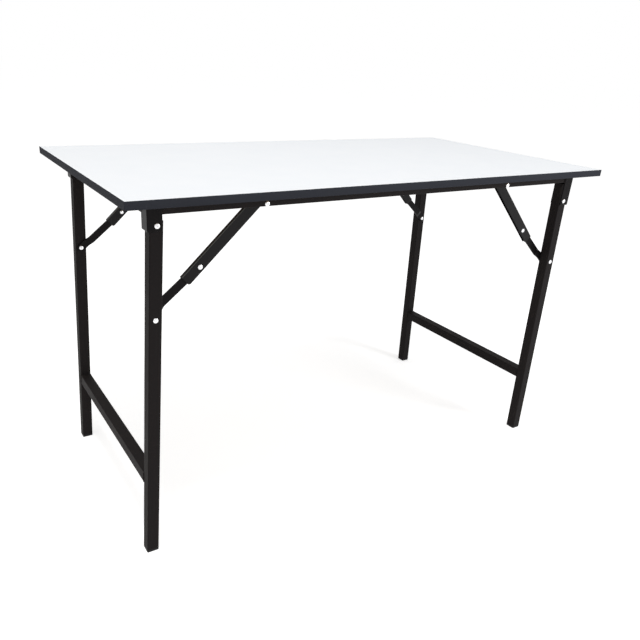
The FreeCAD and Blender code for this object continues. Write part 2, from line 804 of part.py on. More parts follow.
def main():
    """Build the table, check it and write each sub-part to its own file."""
    make_board()
    make_rails()
    make_rail_rivets()
    make_screws()
    for end in ENDS:
        make_stretcher(end)
        make_leg_rivets(end)
        for side in SIDES:
            make_bracket(end, side)
            make_leg(end, side)
            make_foot_cap(end, side)
            make_channel(end, side)
            make_bar(end, side)
            make_stay_rivets(end, side)
    check_model()
    os.makedirs("parts", exist_ok=True)
    for node in nodes:
        node.Shape.exportStep(f"parts/{node.Label}.step")
    for name, value in WORKED.items():
        print(f"{name} {value:.4f}")
    print(f"{len(nodes)} sub-parts written")


main()
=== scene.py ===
"""Looks of a folding trestle table: a white laminated board on black square-tube folding legs."""

import json
import logging
import math
from abc import ABC, abstractmethod
from collections.abc import Iterable, Sequence
from dataclasses import dataclass, replace
from enum import Enum

import bmesh
import bpy
from mathutils import Matrix, Vector

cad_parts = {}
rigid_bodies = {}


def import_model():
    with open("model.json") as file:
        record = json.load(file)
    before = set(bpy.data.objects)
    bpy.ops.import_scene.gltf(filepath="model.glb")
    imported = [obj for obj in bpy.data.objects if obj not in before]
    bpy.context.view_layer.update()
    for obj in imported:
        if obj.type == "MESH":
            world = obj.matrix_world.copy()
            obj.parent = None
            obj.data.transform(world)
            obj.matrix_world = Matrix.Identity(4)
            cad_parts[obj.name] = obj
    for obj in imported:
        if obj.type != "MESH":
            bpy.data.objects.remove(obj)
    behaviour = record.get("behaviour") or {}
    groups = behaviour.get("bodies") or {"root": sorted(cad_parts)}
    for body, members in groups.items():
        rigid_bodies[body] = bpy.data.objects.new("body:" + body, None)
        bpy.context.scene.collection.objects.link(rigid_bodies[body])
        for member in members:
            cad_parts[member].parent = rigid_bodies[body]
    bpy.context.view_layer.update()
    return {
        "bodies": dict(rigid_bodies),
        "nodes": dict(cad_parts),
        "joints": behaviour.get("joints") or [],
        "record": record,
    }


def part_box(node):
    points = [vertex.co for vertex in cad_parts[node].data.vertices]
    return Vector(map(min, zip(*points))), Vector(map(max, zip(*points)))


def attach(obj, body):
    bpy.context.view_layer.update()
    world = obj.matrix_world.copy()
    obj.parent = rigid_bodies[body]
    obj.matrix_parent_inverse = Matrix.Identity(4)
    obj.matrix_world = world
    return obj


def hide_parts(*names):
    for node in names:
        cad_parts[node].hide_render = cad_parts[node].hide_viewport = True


log = logging.getLogger("trestle_table")

FRAME_BODY = "under_frame"
# The fold of a leg that stands square to the board, in degrees
SQUARE_FOLD = 90.0
TUBE_CORNER = 0.002
MERGE_DISTANCE = 1e-6
SHARP_ANGLE = math.radians(38.0)
WHITE = (1.0, 1.0, 1.0, 1.0)

Colour = tuple[float, float, float]
Range = tuple[float, float]
Shape = tuple[tuple[float, float], ...]
Socket = bpy.types.NodeSocket
Value = float | tuple[float, ...] | Socket
BMesh = bmesh.types.BMesh
Seats = list[tuple[Vector, Vector]]


class Direction(Enum):
    """A choice of two opposite directions, each with its sign."""

    @property
    def word(self) -> str:
        """The name as the pieces carry it."""
        return self.name.lower()


class End(Direction):
    """The two ends of the table, each with its outward direction along X."""

    LEFT = -1
    RIGHT = 1


class Side(Direction):
    """The two long sides of the table, each with its outward direction along Y."""

    NEAR = -1
    FAR = 1


class Slot(Enum):
    """The material slots of the table."""

    WHITE_LAMINATE = "white_laminate"
    BLACK_EDGING = "black_edging"
    BOARD_CORE = "board_core"
    BOARD_BACKING = "board_backing"
    BLACK_STEEL = "black_steel"
    BRIGHT_RIVET = "bright_rivet"
    ZINC_STEEL = "zinc_steel"
    BLACK_CAP = "black_cap"


class Make(Enum):
    """How a piece is made, with the ending that this gives to the name of its finish."""

    PLAIN = ""
    PRESSED = "_pressed"
    BENT = "_bent"

    @classmethod
    def of(cls, node: str) -> "Make":
        """Tell from a node's name how the piece is made."""
        return next((make for ending, make in MAKES.items() if node.endswith(ending)), cls.PLAIN)


MAKES = {"_stay_channel": Make.BENT, "_stay_bar": Make.PRESSED, "_bracket": Make.PRESSED}


# Shader graphs


class Graph:
    """Places and wires the nodes of one shader tree."""

    def __init__(self, tree: bpy.types.NodeTree) -> None:
        """Keep the tree that is worked on."""
        self.tree = tree

    def add(
        self, kind: str, inputs: dict[str | int, Value] | None = None, **settings: object
    ) -> bpy.types.Node:
        """Add a node.

        Args:
            kind: The node's type without its ShaderNode prefix.
            inputs: Values or sockets for its inputs, by name or index.
            **settings: Properties of the node itself.

        Returns:
            The new node.
        """
        node = self.tree.nodes.new(f"ShaderNode{kind}")
        for name, value in settings.items():
            setattr(node, name, value)
        for key, value in (inputs or {}).items():
            self.feed(node.inputs[key], value)
        return node

    def feed(self, target: Socket, value: Value) -> None:
        """Set an input to a value, or wire it to a socket.

        Args:
            target: The input.
            value: The value or socket that it takes.
        """
        if isinstance(value, Socket):
            self.tree.links.new(value, target)
        else:
            target.default_value = value

    def calculate(self, operation: str, *numbers: Value) -> Socket:
        """Work out a number.

        Args:
            operation: The Math node's operation.
            *numbers: The numbers or sockets that it takes.

        Returns:
            The socket of the result.
        """
        return self.add("Math", dict(enumerate(numbers)), operation=operation).outputs[0]

    def plus(self, first: Value, second: Value) -> Socket:
        """Add two numbers."""
        return self.calculate("ADD", first, second)

    def times(self, first: Value, second: Value) -> Socket:
        """Multiply two numbers."""
        return self.calculate("MULTIPLY", first, second)

    def most(self, first: Value, second: Value) -> Socket:
        """Keep the larger of two numbers."""
        return self.calculate("MAXIMUM", first, second)

    def span(self, value: Value, target: Range, source: Range = (0.0, 1.0)) -> Socket:
        """Map a number from one range to another.

        Args:
            value: The number or socket to map.
            target: What the start and the end of the range become.
            source: The range that the number comes from.

        Returns:
            The socket of the mapped number.
        """
        inputs = {"Value": value}
        inputs["From Min"], inputs["From Max"] = source
        inputs["To Min"], inputs["To Max"] = target
        return self.add("MapRange", inputs).outputs["Result"]

    def rise(self, value: Value, source: Range) -> Socket:
        """Let a number rise from 0 to 1 over a range."""
        return self.span(value, (0.0, 1.0), source)

    def fall(self, value: Value, source: Range) -> Socket:
        """Let a number fall from 1 to 0 over a range."""
        return self.span(value, (1.0, 0.0), source)

    def blend(self, share: Value, first: Value, second: Value) -> Socket:
        """Mix two colours.

        Args:
            share: How much of the second colour shows.
            first: The first colour or socket.
            second: The second colour or socket.

        Returns:
            The socket of the mixed colour.
        """
        # A Mix node takes its colours at index 6 and 7, and puts out their mix at index 2
        return self.add("Mix", {0: share, 6: first, 7: second}, data_type="RGBA").outputs[2]

    def noise(
        self, vector: Value, scale: Value, detail: float = 2.0, roughness: float = 0.5
    ) -> Socket:
        """Add a noise pattern.

        Args:
            vector: The coordinates.
            scale: Cells in a metre.
            detail: How many finer layers are added.
            roughness: How strong the finer layers are.

        Returns:
            The socket of the pattern's value.
        """
        values = {"Vector": vector, "Scale": scale, "Detail": detail, "Roughness": roughness}
        return self.add("TexNoise", values).outputs[0]

    def stretch(self, vector: Value, factors: tuple[float, float, float]) -> Socket:
        """Stretch coordinates by a factor along each axis."""
        return self.add("Mapping", {"Vector": vector, "Scale": factors}).outputs[0]


class EffectGroup:
    """A shader node group with named sockets, built once and placed in many materials."""

    def __init__(
        self, name: str, inputs: dict[str, float | None], outputs: Sequence[str]
    ) -> None:
        """Make the group's sockets.

        Args:
            name: The group's name.
            inputs: Input names with their default values, None for coordinates.
            outputs: Names of the values that it puts out.
        """
        self.tree = bpy.data.node_groups.new(name, "ShaderNodeTree")
        for label, default in inputs.items():
            kind = "NodeSocketVector" if default is None else "NodeSocketFloat"
            socket = self.tree.interface.new_socket(label, in_out="INPUT", socket_type=kind)
            if default is not None:
                socket.default_value = default
        for label in outputs:
            self.tree.interface.new_socket(label, in_out="OUTPUT", socket_type="NodeSocketFloat")
        self.graph = Graph(self.tree)
        self.source = self.tree.nodes.new("NodeGroupInput").outputs
        self.target = self.tree.nodes.new("NodeGroupOutput").inputs

    def place(self, graph: Graph, **values: Value) -> bpy.types.NodeOutputs:
        """Place the group in a material.

        Args:
            graph: The material's graph.
            **values: Values or sockets for the group's inputs.

        Returns:
            The group's outputs.
        """
        return graph.add("Group", values, node_tree=self.tree).outputs


class Grain(EffectGroup):
    """The fine relief of a coated or moulded surface, with slow patches in its sheen."""

    FINER = 3.7
    FINE_SHARE = 0.35
    SLOWER = 0.016
    PATCH_RANGE = (0.3, 0.7)

    def __init__(self) -> None:
        """Build the group, which puts out Relief and Patches."""
        super().__init__("surface_grain", {"Vector": None, "Scale": 600.0}, ("Relief", "Patches"))
        graph, source = self.graph, self.source
        coarse = graph.noise(source["Vector"], source["Scale"], detail=1.5)
        fine = graph.noise(source["Vector"], graph.times(source["Scale"], self.FINER), detail=1.0)
        graph.feed(self.target["Relief"], graph.plus(coarse, graph.times(fine, self.FINE_SHARE)))
        scale = graph.times(source["Scale"], self.SLOWER)
        slow = graph.noise(source["Vector"], scale, detail=4.0, roughness=0.6)
        graph.feed(self.target["Patches"], graph.rise(slow, self.PATCH_RANGE))


class Scuffs(EffectGroup):
    """Thin rubbed streaks that come in a few places."""

    UPRIGHT_STRETCH = (1.0, 1.0, 0.14)
    UPRIGHT_RANGE = (0.63, 0.75)
    LEVEL_STRETCH = (0.16, 1.0, 1.0)
    LEVEL_RANGE = (0.65, 0.77)
    SLOWER = 0.08
    PLACE_RANGE = (0.52, 0.68)

    def __init__(self) -> None:
        """Build the group, which puts out a Mask of the streaks."""
        inputs = {"Vector": None, "Scale": 120.0, "Amount": 0.3}
        super().__init__("rubbed_streaks", inputs, ("Mask",))
        graph, source = self.graph, self.source
        upright = self.streaks(self.UPRIGHT_STRETCH, self.UPRIGHT_RANGE)
        level = self.streaks(self.LEVEL_STRETCH, self.LEVEL_RANGE)
        where = graph.noise(source["Vector"], graph.times(source["Scale"], self.SLOWER), detail=2.0)
        mask = graph.times(graph.most(upright, level), graph.rise(where, self.PLACE_RANGE))
        graph.feed(self.target["Mask"], graph.times(mask, source["Amount"]))

    def streaks(self, factors: tuple[float, float, float], source: Range) -> Socket:
        """Make the streaks that run one way.

        Args:
            factors: How the pattern is drawn out along each axis.
            source: The range of the pattern over which a streak rises.

        Returns:
            The socket of the streaks.
        """
        drawn_out = self.graph.stretch(self.source["Vector"], factors)
        pattern = self.graph.noise(drawn_out, self.source["Scale"], detail=3.0, roughness=0.62)
        return self.graph.rise(pattern, source)


class Specks(EffectGroup):
    """Small scattered specks, such as dust or the mottle of a plated face."""

    SIZE_RANGE = (0.05, 0.32)
    FEW_RANGE = (0.55, 0.9)

    def __init__(self) -> None:
        """Build the group, which puts out a Mask of the specks and a Tone for each cell."""
        inputs = {"Vector": None, "Scale": 400.0, "Amount": 0.3}
        super().__init__("specks", inputs, ("Mask", "Tone"))
        graph, source = self.graph, self.source
        cells = graph.add("TexVoronoi", {"Vector": source["Vector"], "Scale": source["Scale"]})
        near = graph.fall(cells.outputs["Distance"], self.SIZE_RANGE)
        tone = graph.add("SeparateColor", {"Color": cells.outputs["Color"]}).outputs[0]
        mask = graph.times(near, graph.rise(tone, self.FEW_RANGE))
        graph.feed(self.target["Mask"], graph.times(mask, source["Amount"]))
        graph.feed(self.target["Tone"], tone)


class Bends(EffectGroup):
    """A painted highlight along the upper bend lines of a piece folded from sheet whose sides face
    along Y.
    """

    TURN_START = (0.10, 0.30)
    TURN_STOP = (0.90, 0.98)
    UPPER_RANGE = (0.02, 0.12)

    def __init__(self) -> None:
        """Build the group, which takes the way a face points and puts out a Mask of the painted
        highlight on the upper bend lines.
        """
        super().__init__("sheet_bends", {"Vector": None, "Amount": 0.5}, ("Mask",))
        graph = self.graph
        facing = graph.add("SeparateXYZ", {"Vector": self.source["Vector"]}).outputs
        side = graph.calculate("ABSOLUTE", facing["Y"])
        turn = graph.times(graph.rise(side, self.TURN_START), graph.fall(side, self.TURN_STOP))
        # Only the upward-facing part of each bend gets the painted highlight, as if lit from above
        upper = graph.times(turn, graph.rise(facing["Z"], self.UPPER_RANGE))
        graph.feed(self.target["Mask"], graph.times(upper, self.source["Amount"]))


class Effects:
    """The effect groups that the finishes share."""

    def __init__(self) -> None:
        """Build each group once."""
        self.grain = Grain()
        self.scuffs = Scuffs()
        self.specks = Specks()
        self.bends = Bends()


# Finishes


class Draft(Graph):
    """A material in the making, with the inputs of its Principled BSDF."""

    def __init__(self, name: str) -> None:
        """Start a material.

        Args:
            name: The material's name.
        """
        self.material = bpy.data.materials.new(name)
        self.material.use_nodes = True
        super().__init__(self.material.node_tree)
        self.shader = self.tree.nodes["Principled BSDF"].inputs

    def put(self, socket: str, value: Value) -> None:
        """Feed one of the shader's inputs."""
        self.feed(self.shader[socket], value)

    def coordinates(self, kind: str) -> Socket:
        """Give one kind of texture coordinates."""
        return self.add("TexCoord").outputs[kind]

    def roughen(self, relief: Socket, strength: float, depth: float) -> None:
        """Give the surface its fine relief.

        Args:
            relief: The pattern of the relief.
            strength: How much of it shows.
            depth: How deep it is.
        """
        bump = self.add("Bump", {"Strength": strength, "Distance": depth, "Height": relief})
        self.put("Normal", bump.outputs["Normal"])


def opaque(colour: Colour) -> tuple[float, float, float, float]:
    """Add full opacity to a colour."""
    return (*colour, 1.0)


@dataclass(frozen=True, kw_only=True)
class Finish(ABC):
    """What every finish has: its slot, and the make of the pieces that it is for."""

    slot: Slot
    make: Make = Make.PLAIN

    @property
    def name(self) -> str:
        """The name that the pieces ask for it by."""
        return self.slot.value + self.make.value

    @abstractmethod
    def build(self, effects: Effects) -> bpy.types.Material:
        """Build the material.

        Args:
            effects: The shared effect groups.

        Returns:
            The finished material.
        """


@dataclass(frozen=True, kw_only=True)
class CoatedFinish(Finish):
    """A coloured coating or moulded plastic with fine grain, uneven sheen, rubbed streaks and,
    where set, a painted highlight on its upper bends.
    """

    colour: Colour
    patch_colour: Colour
    # Colour of rubbed streaks and dust, and also of the painted highlight on upper bends
    rubbed_colour: Colour
    roughness: Range
    gloss: float
    grain_scale: float
    grain_depth: float
    scuff_scale: float
    scuff_amount: float
    dust_amount: float
    # How strongly a painted highlight shows on upper bends; none at 0
    bend_wear: float = 0.0
    dust_ratio: float = 0.35
    dulling: float = 0.25
    relief_strength: float = 0.35

    def marks(self, draft: Draft, where: Socket, effects: Effects) -> Socket:
        """Find what is rubbed or dusty, and where a painted highlight lies on an upper bend.

        Args:
            draft: The material.
            where: Its coordinates.
            effects: The shared effect groups.

        Returns:
            The socket of the mask.
        """
        scuffs = effects.scuffs.place(
            draft, Vector=where, Scale=self.scuff_scale, Amount=self.scuff_amount
        )
        dust = effects.specks.place(
            draft, Vector=where, Scale=self.grain_scale * self.dust_ratio, Amount=self.dust_amount
        )
        marks = draft.most(scuffs["Mask"], dust["Mask"])
        # The painted highlight on upper bends is added to the mask
        if self.bend_wear:
            facing = draft.coordinates("Normal")
            bends = effects.bends.place(draft, Vector=facing, Amount=self.bend_wear)
            marks = draft.most(marks, bends["Mask"])
        return marks

    def build(self, effects: Effects) -> bpy.types.Material:
        """Build the material.

        Args:
            effects: The shared effect groups.

        Returns:
            The finished material.
        """
        draft = Draft(self.name)
        where = draft.coordinates("Object")
        grain = effects.grain.place(draft, Vector=where, Scale=self.grain_scale)
        marks = self.marks(draft, where, effects)
        base = draft.blend(grain["Patches"], opaque(self.colour), opaque(self.patch_colour))
        # Rubbed streaks, dust and the painted bend highlight all lighten the base towards one
        # colour
        draft.put("Base Color", draft.blend(marks, base, opaque(self.rubbed_colour)))
        sheen = draft.span(grain["Patches"], self.roughness)
        draft.put("Roughness", draft.plus(sheen, draft.times(marks, self.dulling)))
        draft.put("Specular IOR Level", self.gloss)
        draft.roughen(grain["Relief"], self.relief_strength, self.grain_depth)
        return draft.material


@dataclass(frozen=True, kw_only=True)
class BareMetalFinish(Finish):
    """A bright metal with a mottled plating and dull patches."""

    colour: Colour
    mottle_colour: Colour
    roughness: Range
    mottle_scale: float
    grain_scale: float = 2600.0
    grain_depth: float = 0.00002
    relief_strength: float = 0.2

    def build(self, effects: Effects) -> bpy.types.Material:
        """Build the material.

        Args:
            effects: The shared effect groups.

        Returns:
            The finished material.
        """
        draft = Draft(self.name)
        where = draft.coordinates("Object")
        grain = effects.grain.place(draft, Vector=where, Scale=self.grain_scale)
        cells = effects.specks.place(draft, Vector=where, Scale=self.mottle_scale, Amount=1.0)
        mottle = draft.times(cells["Tone"], grain["Patches"])
        tone = draft.blend(mottle, opaque(self.colour), opaque(self.mottle_colour))
        draft.put("Base Color", tone)
        draft.put("Roughness", draft.span(grain["Patches"], self.roughness))
        draft.put("Metallic", 1.0)
        draft.roughen(grain["Relief"], self.relief_strength, self.grain_depth)
        return draft.material


@dataclass(frozen=True, kw_only=True)
class BoardFinish(Finish):
    """Pressed wood: flakes of several tones, or the fibres of a backing sheet."""

    dark: Colour
    light: Colour
    flake_scale: float
    flake_stretch: tuple[float, float, float]
    flake_share: float = 0.6
    roughness: Range = (0.72, 0.9)
    gloss: float = 0.3
    grain_scale: float = 900.0
    grain_depth: float = 0.0001
    relief_strength: float = 0.4

    def build(self, effects: Effects) -> bpy.types.Material:
        """Build the material.

        Args:
            effects: The shared effect groups.

        Returns:
            The finished material.
        """
        draft = Draft(self.name)
        where = draft.coordinates("Object")
        laid = draft.stretch(where, self.flake_stretch)
        flakes = effects.specks.place(draft, Vector=laid, Scale=self.flake_scale, Amount=1.0)
        grain = effects.grain.place(draft, Vector=where, Scale=self.grain_scale)
        patches = draft.times(grain["Patches"], 1.0 - self.flake_share)
        tone = draft.plus(draft.times(flakes["Tone"], self.flake_share), patches)
        draft.put("Base Color", draft.blend(tone, opaque(self.dark), opaque(self.light)))
        draft.put("Roughness", draft.span(tone, self.roughness))
        draft.put("Specular IOR Level", self.gloss)
        draft.roughen(grain["Relief"], self.relief_strength, self.grain_depth)
        return draft.material


LAMINATE = CoatedFinish(
    slot=Slot.WHITE_LAMINATE,
    colour=(0.875, 0.905, 0.940),
    patch_colour=(0.862, 0.895, 0.933),
    rubbed_colour=(0.80, 0.81, 0.82),
    roughness=(0.42, 0.50),
    gloss=0.32,
    grain_scale=900.0,
    grain_depth=0.00003,
    scuff_scale=60.0,
    scuff_amount=0.1,
    dust_amount=0.06,
)
EDGING = CoatedFinish(
    slot=Slot.BLACK_EDGING,
    colour=(0.0272, 0.0287, 0.0357),
    patch_colour=(0.0304, 0.0321, 0.0396),
    rubbed_colour=(0.09, 0.09, 0.10),
    roughness=(0.66, 0.76),
    gloss=0.06,
    grain_scale=1500.0,
    grain_depth=0.00003,
    scuff_scale=160.0,
    scuff_amount=0.35,
    dust_amount=0.08,
)
TUBE_STEEL = CoatedFinish(
    slot=Slot.BLACK_STEEL,
    colour=(0.0133, 0.0111, 0.0111),
    patch_colour=(0.0149, 0.0126, 0.0125),
    rubbed_colour=(0.055, 0.050, 0.044),
    roughness=(0.54, 0.64),
    gloss=0.05,
    grain_scale=800.0,
    grain_depth=0.00005,
    scuff_scale=140.0,
    scuff_amount=0.4,
    dust_amount=0.14,
)
PRESSED_STEEL = replace(
    TUBE_STEEL,
    make=Make.PRESSED,
    colour=(0.0072, 0.0062, 0.0066),
    patch_colour=(0.0085, 0.0074, 0.0078),
    rubbed_colour=(0.055, 0.050, 0.046),
    roughness=(0.26, 0.36),
    gloss=0.06,
    grain_depth=0.00002,
)
# The channels' finish: its light rubbed colour, laid on the upper bends, is a painted highlight as
# well as rubbed paint
BENT_STEEL = replace(
    PRESSED_STEEL,
    make=Make.BENT,
    colour=(0.0052, 0.0045, 0.0048),
    patch_colour=(0.0062, 0.0054, 0.0057),
    rubbed_colour=(0.12, 0.118, 0.113),
    gloss=0.13,
    scuff_amount=0.2,
    dust_amount=0.07,
    bend_wear=0.8,
)
CAP_PLASTIC = CoatedFinish(
    slot=Slot.BLACK_CAP,
    colour=(0.006, 0.006, 0.0065),
    patch_colour=(0.008, 0.008, 0.0085),
    rubbed_colour=(0.06, 0.058, 0.055),
    roughness=(0.56, 0.68),
    gloss=0.28,
    grain_scale=2000.0,
    grain_depth=0.00006,
    scuff_scale=220.0,
    scuff_amount=0.5,
    dust_amount=0.25,
)
RIVET_METAL = BareMetalFinish(
    slot=Slot.BRIGHT_RIVET,
    colour=(0.80, 0.80, 0.81),
    mottle_colour=(0.68, 0.68, 0.69),
    roughness=(0.22, 0.34),
    mottle_scale=1200.0,
)
SCREW_METAL = BareMetalFinish(
    slot=Slot.ZINC_STEEL,
    colour=(0.66, 0.67, 0.66),
    mottle_colour=(0.52, 0.53, 0.50),
    roughness=(0.32, 0.46),
    mottle_scale=700.0,
)
CORE_BOARD = BoardFinish(
    slot=Slot.BOARD_CORE,
    dark=(0.40, 0.28, 0.17),
    light=(0.72, 0.57, 0.39),
    flake_scale=420.0,
    flake_stretch=(0.4, 0.4, 1.6),
)
BACKING_BOARD = BoardFinish(
    slot=Slot.BOARD_BACKING,
    dark=(0.36, 0.26, 0.17),
    light=(0.44, 0.33, 0.225),
    flake_scale=900.0,
    flake_stretch=(0.05, 1.0, 1.0),
)
FINISHES: tuple[Finish, ...] = (
    LAMINATE,
    EDGING,
    TUBE_STEEL,
    PRESSED_STEEL,
    BENT_STEEL,
    CAP_PLASTIC,
    RIVET_METAL,
    SCREW_METAL,
    CORE_BOARD,
    BACKING_BOARD,
)


# Meshes


def add_object(name: str, data: bpy.types.ID) -> bpy.types.Object:
    """Put data into the scene as a new object at the origin.

    Args:
        name: The object's name.
        data: Its mesh, lamp or camera.

    Returns:
        The object.
    """
    item = bpy.data.objects.new(name, data)
    bpy.context.scene.collection.objects.link(item)
    return item


def mesh_data(mesh: BMesh, name: str) -> bpy.types.Mesh:
    """Turn a working mesh into mesh data.

    Args:
        mesh: The working mesh, which is freed.
        name: The data's name.

    Returns:
        The mesh data.
    """
    data = bpy.data.meshes.new(name)
    mesh.to_mesh(data)
    mesh.free()
    return data


def merge_into(target: BMesh, part: BMesh, place: Matrix) -> None:
    """Put a copy of a part into a larger mesh.

    Args:
        target: The mesh that takes it.
        part: The part, which stays as it is.
        place: Where the copy goes.
    """
    copy = bpy.data.meshes.new("copy")
    part.to_mesh(copy)
    copy.transform(place)
    target.from_mesh(copy)
    bpy.data.meshes.remove(copy)


def close_up(mesh: BMesh) -> None:
    """Merge doubled vertices and turn every face outwards."""
    bmesh.ops.remove_doubles(mesh, verts=mesh.verts, dist=MERGE_DISTANCE)
    bmesh.ops.recalc_face_normals(mesh, faces=mesh.faces)


def soften(
    mesh: BMesh, edges: Iterable[bmesh.types.BMEdge], width: float, segments: int = 3
) -> None:
    """Round some edges.

    Args:
        mesh: The mesh.
        edges: The edges to round.
        width: How far the rounding reaches from each edge.
        segments: How many steps it has.
    """
    bmesh.ops.bevel(
        mesh,
        geom=list(edges),
        offset=width,
        offset_type="OFFSET",
        segments=segments,
        profile=0.5,
        affect="EDGES",
        clamp_overlap=True,
        material=-1,
    )


def block(low: Vector, high: Vector) -> BMesh:
    """Make a plain block.

    Args:
        low: Its lowest corner.
        high: Its highest corner.

    Returns:
        The block.
    """
    mesh = bmesh.new()
    place = Matrix.Translation((low + high) / 2) @ Matrix.Diagonal((*(high - low), 1.0))
    bmesh.ops.create_cube(mesh, size=1.0, matrix=place)
    return mesh


def turned(profile: Sequence[tuple[float, float]], steps: int) -> BMesh:
    """Turn a profile about the Z axis.

    Args:
        profile: Pairs of radius and height, from one pole to the other.
        steps: How many steps the full turn has.

    Returns:
        A closed mesh.
    """
    mesh = bmesh.new()
    points = [mesh.verts.new((radius, 0.0, height)) for radius, height in profile]
    lines = [mesh.edges.new(pair) for pair in zip(points, points[1:])]
    bmesh.ops.spin(
        mesh,
        geom=points + lines,
        cent=(0.0, 0.0, 0.0),
        axis=(0.0, 0.0, 1.0),
        dvec=(0.0, 0.0, 0.0),
        angle=math.tau,
        steps=steps,
        use_merge=True,
        use_duplicate=False,
    )
    close_up(mesh)
    return mesh


def carved(body: BMesh, cutter: BMesh) -> BMesh:
    """Cut one mesh out of another.

    Args:
        body: The mesh that is cut, which is freed.
        cutter: The mesh that cuts, which is freed.

    Returns:
        The cut mesh.
    """
    pair = [add_object("carving", mesh_data(mesh, "carving")) for mesh in (body, cutter)]
    tool = pair[0].modifiers.new("Recess", "BOOLEAN")
    tool.operation = "DIFFERENCE"
    tool.solver = "EXACT"
    tool.object = pair[1]
    bpy.context.view_layer.update()
    cut = bmesh.new()
    cut.from_object(pair[0], bpy.context.evaluated_depsgraph_get())
    for item in pair:
        data = item.data
        bpy.data.objects.remove(item)
        bpy.data.meshes.remove(data)
    return cut


def facing(point: Vector, direction: Vector) -> Matrix:
    """Place a part so that its Z axis points along a direction."""
    return Matrix.Translation(point) @ direction.to_track_quat("Z", "Y").to_matrix().to_4x4()


def middle(node: str) -> Vector:
    """Give the middle of a node's box."""
    low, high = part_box(node)
    return (low + high) / 2


# Places and pieces


@dataclass(frozen=True)
class Layout:
    """Places that the pieces are seated by, measured on the far left corner of the table.

    The row is the distance of legs and rails from the middle plane, and each face is the distance
    of a piece's outer side from it.
    """

    row: float
    tube: float
    leg_face: float
    rail_face: float
    rail_foot: float
    bracket_face: float
    channel_face: float
    channel_width: float
    bar_face: float
    splay: float

    @classmethod
    def measured(cls, joints: Sequence[dict]) -> "Layout":
        """Measure the loaded nodes.

        Args:
            joints: The joints of the table, of which a leg's fold gives the splay.

        Returns:
            The places.
        """
        leg_low, leg_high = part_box("far_left_leg")
        rail_low, rail_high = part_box("far_rail")
        channel_low, channel_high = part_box("far_left_stay_channel")
        fold = next(joint for joint in joints if joint["name"] == "left_leg_fold")
        return cls(
            row=(leg_low.y + leg_high.y) / 2,
            tube=leg_high.y - leg_low.y,
            leg_face=leg_high.y,
            rail_face=rail_high.y,
            rail_foot=rail_low.z,
            bracket_face=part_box("far_left_bracket")[1].y,
            channel_face=channel_high.y,
            channel_width=channel_high.y - channel_low.y,
            bar_face=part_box("far_left_stay_bar")[1].y,
            splay=math.radians(fold["range_deg"][1] - SQUARE_FOLD),
        )


@dataclass
class Bench:
    """The place where pieces are finished: it knows the nodes and the materials."""

    frame: dict
    materials: dict[str, bpy.types.Material]

    def dress_nodes(self) -> None:
        """Give each node the finish of its slot and its make."""
        for row in self.frame["record"]["subparts"]:
            node = self.frame["nodes"][row["node"]]
            material = self.materials[row["material_slot"] + Make.of(row["node"]).value]
            if node.data.materials:
                node.data.materials[0] = material
            else:
                node.data.materials.append(material)

    def add(
        self, mesh: BMesh, name: str, body: str, slot: Slot, stands_for: Sequence[str] = ()
    ) -> None:
        """Finish a piece and let it ride on its body.

        Args:
            mesh: The piece in its place, which is freed.
            name: The piece's name.
            body: The body that it moves with.
            slot: Its material slot.
            stands_for: The nodes that it replaces.
        """
        data = mesh_data(mesh, name)
        data.shade_smooth()
        data.set_sharp_from_angle(angle=SHARP_ANGLE)
        data.materials.append(self.materials[slot.value])
        piece = add_object(name, data)
        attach(piece, body)
        if stands_for:
            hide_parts(*stands_for)
        log.info("%s rides on %s, %d faces", name, body, len(data.polygons))


# Sub-assemblies


@dataclass
class Assembly(ABC):
    """Pieces that are made together: where they are finished, and the places they are seated by."""

    bench: Bench
    layout: Layout

    @abstractmethod
    def build(self) -> None:
        """Make the pieces."""


@dataclass
class Worktop(Assembly):
    """The board's edging: thin strips with rounded outer edges and corners."""

    edge_round: float = 0.0008

    def strip(self, node: str, axis: int, sign: int) -> BMesh:
        """Make one strip.

        Args:
            node: The plain strip that it follows.
            axis: 0 for a strip that faces along X, 1 for one that faces along Y.
            sign: The direction in which it faces.

        Returns:
            The strip in its place.
        """
        low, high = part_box(node)
        mesh = block(low, high)
        outer = (high if sign > 0 else low)[axis]
        rim = []
        for edge in mesh.edges:
            start, stop = (vertex.co for vertex in edge.verts)
            on_face = all(abs(point[axis] - outer) < MERGE_DISTANCE for point in (start, stop))
            is_level = abs(start.z - stop.z) < MERGE_DISTANCE
            if on_face and (axis == 1 or is_level):
                rim.append(edge)
        soften(mesh, rim, self.edge_round)
        return mesh

    def build(self) -> None:
        """Make the four strips."""
        for axis, directions in ((1, Side), (0, End)):
            for direction in directions:
                node = f"{direction.word}_edging"
                mesh = self.strip(node, axis, direction.value)
                self.bench.add(mesh, f"{node}_strip", FRAME_BODY, Slot.BLACK_EDGING, [node])


